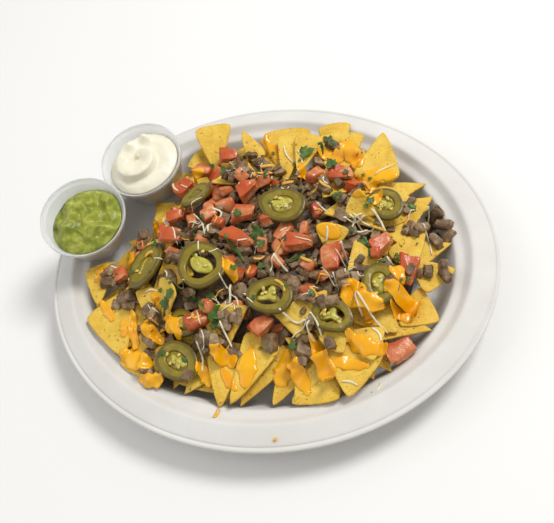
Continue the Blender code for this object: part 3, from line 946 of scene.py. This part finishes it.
def lump_swarm(places, seed, square=0.42, rough=0.42):
    """Many small irregular blocks at once. places is a list of (centre, three axes, half sizes)."""
    centre = np.array([place[0] for place in places])[:, None, None, :]
    axes = np.array([place[1] for place in places])
    half = np.array([place[2] for place in places])[:, None, None, :]
    tilt = np.linspace(0, np.pi, LUMP_ROWS)[:, None]
    turn = ring(LUMP_COLUMNS)[None]
    raised = [np.sin(tilt) * np.cos(turn), np.sin(tilt) * np.sin(turn), np.cos(tilt) + 0 * turn]
    raised = np.stack([np.sign(v) * np.abs(v) ** square for v in raised], axis=-1)[None]
    shift = np.arange(len(places))[:, None, None, None] * np.array([3.7, 1.9, 5.3])
    wobble = 1 + rough * lumps(raised * 1.1 + shift, 1.0, seed, 2)[..., None]
    return np.einsum("kijc,kcd->kijd", raised * wobble * half, axes) + centre


def settled(x, y, half, rng, sink=0.35, tumble=0.9):
    """A place for one lump: its middle a little under its own half height above the ground, turned at random
    and tipped partly to the ground's slope."""
    height, facing, kind = ground.drop(x, y)
    up = unit(facing * 0.7 + np.array([0, 0, 0.6]) + rng.normal(0, tumble * 0.4, 3))
    side = unit(np.cross(up, [math.cos(swing := rng.uniform(0, TAU)), math.sin(swing), 0.1]))
    axes = np.stack([side, np.cross(up, side), up])
    return (np.array([x, y, height]) + up * half[2] * (1 - sink), axes, half), kind


# Pieces of meat that lie on chips or beside the heap: x, y, half length.
LOOSE_MEAT = [
    (104, 62, 8), (112, 55, 7), (108, 48, 7.5), (104, 40, 6), (112, 38, 6.5), (118, 46, 6), (99, 56, 6),
    (117, 12, 5), (128, 12, 6), (124, 18, 4.5), (-98, -48, 6), (-92, -54, 6.5), (-86, -50, 6), (-94, -44, 5),
    (-73, -62, 6), (-67, -60, 7), (-64, -66, 5), (-76, -66, 5), (-49, -64, 5.5), (-44, -67, 6), (-40, -69, 5),
    (-37, -83, 7), (-34, -92, 6.5), (-33, -101, 6), (-27, -103, 6), (-21, -101, 5), (-40, -77, 5), (4, -73, 7),
    (11, -74, 6), (18, -75, 6), (26, -76, 5), (44, -62, 7.5), (62, -58, 6), (66, -62, 6.5), (66, -68, 5),
    (111, -10, 4.5), (102, -8, 5), (109, 4, 4), (113, 9, 4), (19, 94, 5), (25, 92, 5), (31, 90, 5), (38, 91, 4.5),
    (-44, 75, 5), (-37, 73, 5), (-30, 70, 6), (-52, 74, 4.5), (86, 58, 4), (100, 36, 4), (-4, -72, 6), (1, -97, 4),
    (82, -56, 4.5), (69, -49, 5), (47, -54, 6), (57, -56, 5.5), (76, -33, 6), (70, -36, 5), (88, 62, 4),
]


def chopped_meat():
    """Two loose layers over the heap where nothing larger lies, and the pieces that lie beyond it."""
    places = []
    for spacing, start in ((7.0, 0.0), (7.4, 3.0)):
        steps = np.arange(-125 + start, 125, spacing)
        layer = []
        for x, y in np.stack(np.meshgrid(steps, steps), axis=-1).reshape(-1, 2):
            x, y = x + RNG.uniform(-3, 3), y + RNG.uniform(-3, 3)
            share = math.hypot(x, y) / float(heap_reach(np.array([math.atan2(y, x)]))[0])
            if share > 0.97:
                continue
            size = 2.5 + 3.2 * RNG.uniform(0, 1) ** 1.6
            half = np.array([size, size * RNG.uniform(0.5, 0.9), size * RNG.uniform(0.35, 0.6)])
            place, kind = settled(x, y, half, RNG)
            if kind in ("core", "meat", "buried") and (kind != "buried" or RNG.uniform() < 0.35):
                layer.append(place)
        places += layer
        ground.add(surfaces("trial", lump_swarm(layer, 5), MEAT, "meat"), "meat")
        bpy.data.objects.remove(bpy.data.objects["trial"])
    for x, y, size in LOOSE_MEAT:
        half = 0.85 * np.array([size, size * RNG.uniform(0.55, 0.8), size * RNG.uniform(0.4, 0.6)])
        places.append(settled(x, y, half, RNG)[0])
    cut = RNG.uniform(0, 1, len(places))[:, None, None] ** 1.3
    return surfaces("chopped_meat", lump_swarm(places, 5), MEAT, "meat", sharp=42, cut=cut)


ground.add(chopped_meat(), "meat")

# Smaller cut pieces of tomato: x, y, half length.
SMALL_TOMATO = [
    (-44, 34, 6), (-56, 38, 5), (-62, 12, 6), (-26, 44, 5), (-14, 24, 6), (-40, 16, 5), (8, 14, 6), (24, -2, 6),
    (-16, 50, 7), (-8, 52, 5), (-29, 22, 7), (0, 20, 5), (-36, 10, 6), (-49, 4, 6), (-74, -6, 5.5),
    (22, 9, 8), (35, 15, 5), (30, -2, 4), (13, -4, 5), (52, -25, 7), (44, -52, 5), (19, 63, 6.5), (50, 58, 6),
    (-7, -66, 7), (-82, -46, 6), (-80, -30, 6), (-45, -25, 5), (-5, -22, 6),
    (4, -29, 5.5), (14, -24, 5), (16, -49, 6), (62, 8, 5), (59, -12, 5), (-55, 50, 6), (-66, 22, 5), (-70, 12, 5),
    (-84, -18, 5), (-34, 32, 5), (-24, 4, 5), (34, 32, 5), (86, 10, 4), (-2, -54, 5), (28, -14, 5), (-40, 26, 5),
    (90, -22, 4), (30, 66, 5), (-10, -10, 5), (46, -8, 5), (-30, -14, 5),
]


def small_dice():
    places = []
    for x, y, size in SMALL_TOMATO:
        half = 0.95 * np.array([size, size * RNG.uniform(0.55, 0.85), size * RNG.uniform(0.5, 0.7)])
        places.append(settled(x, y, half, RNG, sink=0.4)[0])
    grids = lump_swarm(places, 21, square=0.36, rough=0.24)
    skin = np.clip(lattice_noise(grids, 11, 4) * 3, 0, 1)
    return surfaces("small_tomato_pieces", grids, TOMATO, "fruit", sharp=50, skin=skin)


ground.add(small_dice(), "tomato")

# ---------------------------------------------------------------- melted cheese

# Pours of cheese sauce: points along each, with its half width there.
POURS = [
    [(33, -68, 3), (34, -78, 7), (36, -86, 8), (38, -93, 5)],
    [(52, -60, 3), (54, -68, 7), (55, -76, 8), (54, -84, 5)],
    [(56, -66, 4), (63, -72, 6), (70, -78, 5), (76, -84, 3)],
    [(68, -54, 3), (76, -62, 6), (83, -69, 7), (88, -76, 3)],
    [(88, -46, 5), (97, -49, 8), (106, -49, 7), (113, -45, 3)],
    [(74, -24, 4), (84, -24, 9), (94, -24, 9), (103, -22, 5)],
    [(78, -14, 4), (86, -19, 6), (92, -27, 5), (98, -36, 2)],
    [(99, -12, 5), (107, -12, 7), (115, -12, 7), (122, -12, 4)],
    [(105, -19, 4), (112, -20, 6), (119, -18, 4)],
    [(-57, -95, 4), (-47, -97, 8), (-36, -98, 7), (-28, -99, 4)],
    [(-60, -68, 3), (-56, -77, 4), (-50, -86, 4), (-46, -92, 3)],
    [(-36, -107, 4), (-26, -107, 6), (-16, -103, 5)], [(-108, -42, 4), (-103, -47, 6), (-100, -54, 4)],
    [(-67, -74, 3), (-62, -80, 4), (-58, -86, 3)], [(-30, -67, 4), (-22, -72, 6), (-14, -77, 4)],
    [(24, 98, 4), (32, 93, 7), (42, 84, 7), (48, 76, 4)],
    [(48, 68, 4), (57, 72, 6), (66, 75, 6), (75, 76, 3)], [(-30, 86, 3), (-24, 82, 5), (-17, 76, 4)],
    [(-84, 6, 4), (-80, 0, 6), (-76, -6, 4)], [(42, 18, 4), (51, 15, 7), (61, 14, 4)],
    [(10, -80, 4), (18, -80, 6), (28, -80, 4)], [(17, -85, 3), (25, -91, 5), (34, -96, 3)],
    [(2, -86, 3), (8, -92, 5), (14, -97, 3)], [(12, 86, 4), (22, 85, 6), (32, 86, 5)],
    [(-40, 98, 3), (-34, 90, 5), (-26, 82, 4)], [(-5, -22, 3), (2, -28, 5), (7, -33, 3)],
    [(-49, -73, 4), (-40, -78, 6), (-28, -82, 5)], [(-91, -66, 3), (-82, -72, 5), (-73, -77, 4)],
    [(4, 74, 3), (7, 67, 4), (10, 58, 3)], [(60, 40, 4), (68, 46, 5), (74, 54, 3)],
    [(98, 6, 3), (103, 0, 5), (108, -6, 3)], [(-88, -26, 4), (-84, -32, 5), (-80, -38, 3)],
    [(-70, 36, 3), (-66, 42, 4), (-60, 46, 3)], [(80, -68, 3), (90, -62, 5), (98, -60, 5), (106, -58, 3)],
    [(64, 62, 4), (58, 66, 5), (52, 72, 3)], [(-50, -54, 3), (-42, -58, 4), (-36, -64, 3)],
]


def eased_path(points, count):
    """A smooth curve through points (any number of columns), by cubic blending of its neighbours."""
    points = np.asarray(points, float)
    padded = np.concatenate([2 * points[:1] - points[1:2], points, 2 * points[-1:] - points[-2:-1]])
    at = np.linspace(0, len(points) - 1 - 1e-9, count)
    low = at.astype(int)
    t = (at - low)[:, None]
    a, b, c, d = (padded[low + k] for k in range(4))
    return 0.5 * (2 * b + (c - a) * t + (2 * a - 5 * b + 4 * c - d) * t**2 + (3 * b - a - 3 * c + d) * t**3)


def neighbours(level):
    """The sum of the four values beside each value of a grid, whose edges are repeated."""
    wide = np.pad(level, 1, mode="edge")
    return wide[:-2, 1:-1] + wide[2:, 1:-1] + wide[1:-1, :-2] + wide[1:-1, 2:]


def pour(points, seed, rows=30, columns=26):
    """Thick sauce run out along a path: across it, a low dome with rounded edges, on the ground's height once
    that is smoothed, so that it bridges small gaps, sags between lumps and hangs only a little over an edge."""
    path = eased_path(points, rows)
    ahead = np.gradient(path[:, :2], axis=0)
    ahead /= np.linalg.norm(ahead, axis=1, keepdims=True)
    side = np.stack([-ahead[:, 1], ahead[:, 0]], axis=1)
    along = np.linspace(-1, 1, rows)
    round_end = np.clip(1 - np.abs(along) ** 6, 0, 1) ** 0.5
    wobble = 1 + 0.3 * lattice_noise(np.stack([along * 4, 0 * along, 0 * along + seed], axis=-1), 1, seed)
    wide = 0.72 * path[:, 2] * round_end * wobble
    turn = ring(columns)
    across, up = np.cos(turn), np.sin(turn)
    half = columns // 2 + 1
    x = path[:, :1] + side[:, :1] * wide[:, None] * across
    y = path[:, 1:2] + side[:, 1:2] * wide[:, None] * across
    level = ground.heights(x[:, :half], y[:, :half])
    crest = level.max(axis=1)
    for _ in range(4):
        crest = np.maximum(crest, np.maximum(np.roll(crest, 1), np.roll(crest, -1)) - 2.0)
    level = np.maximum(level, crest[:, None] - 4.5)
    for _ in range(3):
        level = np.maximum(level, neighbours(level) / 4)
    level = 0.4 * level + 0.15 * neighbours(level)
    level = np.concatenate([level, level[:, 1 : columns - half + 1][:, ::-1]], axis=1)
    thick = (0.8 + 0.14 * wide) * round_end
    z = level + np.where(up > 0, np.abs(up) ** 0.7 * thick[:, None], -1.0 * np.abs(up) * round_end[:, None])
    return np.stack([x, y, z], axis=-1)


def cheese_sauce():
    return surfaces("cheese_sauce", np.array([pour(p, i) for i, p in enumerate(POURS)]), CHEESE, "meat")


ground.add(cheese_sauce(), "sauce")

# Shreds of cheese: points along each.
WHITE_SHREDS = [
    [(-35, 13), (-28, 12), (-32, 2), (-27, -6)], [(-50, 9), (-40, 2), (-30, -7)], [(-80, 8), (-74, 3)],
    [(-95, -42), (-84, -38)], [(-54, -56), (-46, -52)], [(2, -34), (7, -47)], [(5, -41), (16, -49)],
    [(10, -62), (15, -68), (21, -73)], [(-5, -75), (7, -92)], [(46, -47), (56, -48), (63, -44)],
    [(64, -44), (76, -54)], [(67, -47), (55, -57)], [(24, -9), (37, -17)], [(-15, 85), (-2, 73)],
    [(6, 67), (-4, 59)], [(52, 16), (53, 8)], [(57, 27), (70, 34)], [(60, 30), (70, 26)],
    [(63, 25), (68, 34)], [(72, 38), (84, 28)], [(60, 72), (70, 84)], [(99, 64), (100, 54)],
    [(90, 49), (94, 58)], [(104, 42), (113, 28)], [(93, -72), (103, -71)], [(-2, 81), (6, 71)],
    [(64, 10), (72, 2)], [(109, -70), (112, -62)], [(86, -22), (96, -30), (108, -34)],
    [(84, -20), (92, -32)], [(62, 32), (74, 30)], [(66, 24), (76, 30)], [(-78, 30), (-70, 24)],
    [(34, 36), (44, 30)], [(100, -38), (108, -44)],
]
YELLOW_SHREDS = [
    [(-15, 44), (-20, 54), (-12, 60)], [(21, 44), (29, 50)], [(54, -23), (66, -34)], [(40, -5), (52, -6)],
    [(25, -108), (26, -115)], [(61, -28), (68, -36)], [(11, -15), (17, -10)], [(67, -115), (69, -115)],
    [(-70, 20), (-62, 14)], [(80, 36), (88, 30)], [(-22, 60), (-14, 66)], [(0, 48), (8, 54)],
    [(30, 52), (40, 48)], [(-84, 4), (-76, -2)], [(-64, -34), (-58, -30)], [(50, 66), (60, 62)],
    [(92, 40), (98, 48)], [(36, -30), (46, -36)],
]


def strands(paths, width, thick, seed, rows=14, columns=8):
    """Cut strands: a four-sided bar with worn corners along a curve laid on the ground, lifted by stiffness over
    dips, with a slight twist and tapered ends."""
    grids = []
    for index, points in enumerate(paths):
        path = eased_path(points, rows)
        rng = np.random.default_rng(seed * 100 + index)
        bow = np.sin(np.linspace(0, np.pi, rows)) * rng.uniform(-2, 2)
        ahead = np.gradient(path, axis=0)
        ahead /= np.linalg.norm(ahead, axis=1, keepdims=True) + 1e-9
        side = np.stack([-ahead[:, 1], ahead[:, 0]], axis=1)
        path = path + side * bow[:, None]
        level = ground.heights(path[:, 0], path[:, 1])
        for _ in range(4):
            level = np.maximum(level, np.convolve(np.pad(level, 1, mode="edge"), [0.5, 0, 0.5], "valid"))
        level = level + thick * 0.3
        turn = ring(columns)
        across = np.sign(np.cos(turn)) * np.abs(np.cos(turn)) ** 0.6 * width / 2
        up = np.sign(np.sin(turn)) * np.abs(np.sin(turn)) ** 0.6 * thick / 2
        size = (1 - np.abs(np.linspace(-1, 1, rows)) ** 8)[:, None] ** 0.5 * rng.uniform(0.8, 1.2)
        twist = (np.linspace(0, 1, rows) * rng.uniform(-1.2, 1.2))[:, None]
        u = (across * np.cos(twist) - up * np.sin(twist)) * size
        v = (across * np.sin(twist) + up * np.cos(twist)) * size
        x = path[:, :1] + side[:, :1] * u
        y = path[:, 1:] + side[:, 1:] * u
        grids.append(np.stack([x, y, level[:, None] + v], axis=-1))
    return np.array(grids)


def stray_paths(count, shortest, longest, seed):
    """Short curved paths strewn over the heap."""
    rng = np.random.default_rng(seed)
    paths = []
    while len(paths) < count:
        x, y = rng.uniform(-100, 100), rng.uniform(-90, 90)
        if math.hypot(x, y) > 0.88 * float(heap_reach(np.array([math.atan2(y, x)]))[0]):
            continue
        if ground.drop(x, y)[2] not in ("meat", "core", "tomato"):
            continue
        step = rng.uniform(shortest, longest) / 2
        first = compass(rng.uniform(0, 360)) * step
        second = first + compass(rng.uniform(0, 360)) * step * 0.7
        paths.append([(x, y), tuple(np.array([x, y]) + first), tuple(np.array([x, y]) + first + second)])
    return paths


surfaces("white_cheese_shreds", strands(WHITE_SHREDS, 1.3, 1.0, 1), WHITE_SHRED, "cream")
surfaces("fine_white_shreds", strands(stray_paths(60, 5, 12, 5), 0.85, 0.8, 2), WHITE_SHRED, "cream")
surfaces("yellow_cheese_shreds", strands(YELLOW_SHREDS, 2.1, 1.6, 3), YELLOW_SHRED, "corn")
surfaces("fine_yellow_shreds", strands(stray_paths(16, 5, 11, 8), 1.3, 1.0, 4), YELLOW_SHRED, "corn")

# ---------------------------------------------------------------- herbs

# Coriander leaves: x, y, half size, heading.
LEAVES = [
    (6, 80, 7, 30), (10, 74, 6, 120), (15, 97, 5, 60), (20, 92, 3.5, 200), (33, 66, 6, 10), (8, 2, 8, 250),
    (-13, 5, 6, 90), (-10, 10, 4, 10), (2, -57, 8, 300), (6, -62, 6, 240), (-11, -56, 4, 0), (-29, -62, 6, 60),
    (-24, -58, 5, 150), (20, -20, 4, 20), (59, -62, 4, 100), (51, 40, 4, 200), (71, 41, 4, 300), (95, 17, 3, 0),
    (98, 13, 3, 90), (90, 58, 3.5, 45), (-22, -90, 3, 0), (-6, -89, 3, 80), (75, -8, 3.5, 10), (4, -27, 3.5, 190),
    (-60, -24, 3, 0), (-20, -50, 4, 100), (-6, -47, 4, 200), (-38, -52, 4, 30), (46, 42, 3, 90), (44, 64, 3, 0),
    (-66, 60, 3, 40), (-40, 44, 4, 120), (72, 18, 4, 250), (-74, -14, 3, 10), (14, -6, 4, 40), (60, -30, 3, 0),
]


def leaf_swarm(leaves, seed, rows=9, columns=24):
    """Three-lobed leaves with notched edges: polar outlines, closed above and below, cupped and rippled."""
    out = np.array([0, 0.3, 0.6, 0.85, 1.0, 0.85, 0.6, 0.3, 0])[:, None]
    side = np.array([1, 1, 1, 0.8, 0, -0.8, -1, -1, -1])[:, None]
    turn = ring(columns)[None]
    grids = []
    for index, (x, y, size, heading) in enumerate(leaves):
        rng = np.random.default_rng(seed * 100 + index)
        lobes = 0.46 + 0.3 * np.abs(np.cos(1.5 * turn)) ** 0.8
        lobes = lobes + 0.1 * np.cos(9 * turn + index) + 0.09 * np.cos(5 * turn + 2 * index)
        u, v = out * lobes * size * np.cos(turn), out * lobes * size * np.sin(turn)
        cup = rng.uniform(-0.03, 0.06) * (u * u + v * v) + rng.uniform(-0.3, 0.3) * u
        ripple = 0.7 * np.sin(4 * turn + index) * out**2 * size / 8
        w = side * 0.18 + cup + ripple
        height, facing, _ = ground.drop(x, y)
        up = unit(facing + np.array([0, 0, 0.6]))
        ahead = np.append(compass(heading), 0.0)
        ahead = unit(ahead - up * (ahead @ up))
        axes = np.stack([ahead, np.cross(up, ahead), up])
        middle = np.array([x, y, height]) + up * (0.9 + 0.1 * size)
        grids.append(u[..., None] * axes[0] + v[..., None] * axes[1] + w[..., None] * axes[2] + middle)
    return np.array(grids)


def stray_leaves(count, seed):
    rng = np.random.default_rng(seed)
    spots = []
    while len(spots) < count:
        x, y = rng.uniform(-105, 110), rng.uniform(-92, 92)
        if math.hypot(x, y) < 0.95 * float(heap_reach(np.array([math.atan2(y, x)]))[0]):
            spots.append((x, y, rng.uniform(0.9, 2.4), rng.uniform(0, 360)))
    return spots


surfaces("coriander_leaves", leaf_swarm(LEAVES, 2), HERB, "avocado")
surfaces("herb_flecks", leaf_swarm(stray_leaves(70, 4), 3), HERB, "avocado")
STEMS = [
    [(-11, -7), (-6, -10), (0, -13), (6, -19)],
    [(70, 24), (76, 16), (82, 8)],
    [(43, 0), (38, -6), (34, -11)],
    [(-10, -49), (-6, -54), (-1, -59)],
    [(-26, -56), (-29, -62), (-32, -68)],
    [(88, 60), (93, 56)],
    [(-30, -48), (-26, -54)],
    [(12, 90), (16, 84)],
]
surfaces("herb_stems", strands(STEMS, 3.2, 0.9, 6), HERB, "avocado")

# ---------------------------------------------------------------- camera, floor and light


def camera_frame(target, distance, azimuth, elevation, roll):
    """A camera that looks at target from an azimuth and elevation, rolled about its own line of sight."""
    a, e, r = np.radians([azimuth, elevation, roll])
    back = np.array([math.sin(a) * math.cos(e), -math.cos(a) * math.cos(e), math.sin(e)])
    place = distance * back
    sight = unit(np.array(target) - place)
    right = unit(np.cross(sight, [0, 0, 1]))
    up = np.cross(right, sight)
    right, up = right * math.cos(r) + up * math.sin(r), up * math.cos(r) - right * math.sin(r)
    turned_to = Matrix((right, up, -sight)).transposed().to_4x4()
    turned_to.translation = Vector(place * MM)
    return turned_to


lens = bpy.data.cameras.new("camera")
lens.lens = 48.26
lens.sensor_width = 36.0
lens.clip_start = 0.01
camera = bpy.data.objects.new("camera", lens)
camera.matrix_world = camera_frame((9.0, 4.9, 10.0), 520.0, 47.69, 52.5, -25.75)
scene.collection.objects.link(camera)
scene.camera = camera

floor_mesh = bpy.data.meshes.new("floor")
floor_mesh.from_pydata([(-3, -3, 0), (3, -3, 0), (3, 3, 0), (-3, 3, 0)], [], [(0, 1, 2, 3)])
floor = bpy.data.objects.new("floor", floor_mesh)
floor.location.z = -0.0002
scene.collection.objects.link(floor)
floor_material, floor_tree, floor_shader, floor_place = new_material("pale_floor", Roughness=0.9)
floor_shader.inputs["Base Color"].default_value = linear("ECEBE8")
floor_mesh.materials.append(floor_material)


def soft_light(name, place, size, power, colour):
    light = bpy.data.lights.new(name, "AREA")
    light.shape = "DISK"
    light.size = size
    light.energy = power
    light.color = colour
    made = bpy.data.objects.new(name, light)
    made.location = place
    made.rotation_euler = Vector(place).to_track_quat("Z", "Y").to_euler()
    scene.collection.objects.link(made)


soft_light("key", (0.7, 0.9, 1.5), 0.7, 24.0, (1.0, 0.99, 0.975))
soft_light("fill", (-1.2, -0.7, 1.3), 1.6, 7.0, (0.97, 0.98, 1.0))
world = bpy.data.worlds.new("room")
world.use_nodes = True
world.node_tree.nodes["Background"].inputs["Color"].default_value = linear("F3F3F3")
world.node_tree.nodes["Background"].inputs["Strength"].default_value = 0.62
scene.world = world
scene.view_settings.view_transform = "Standard"
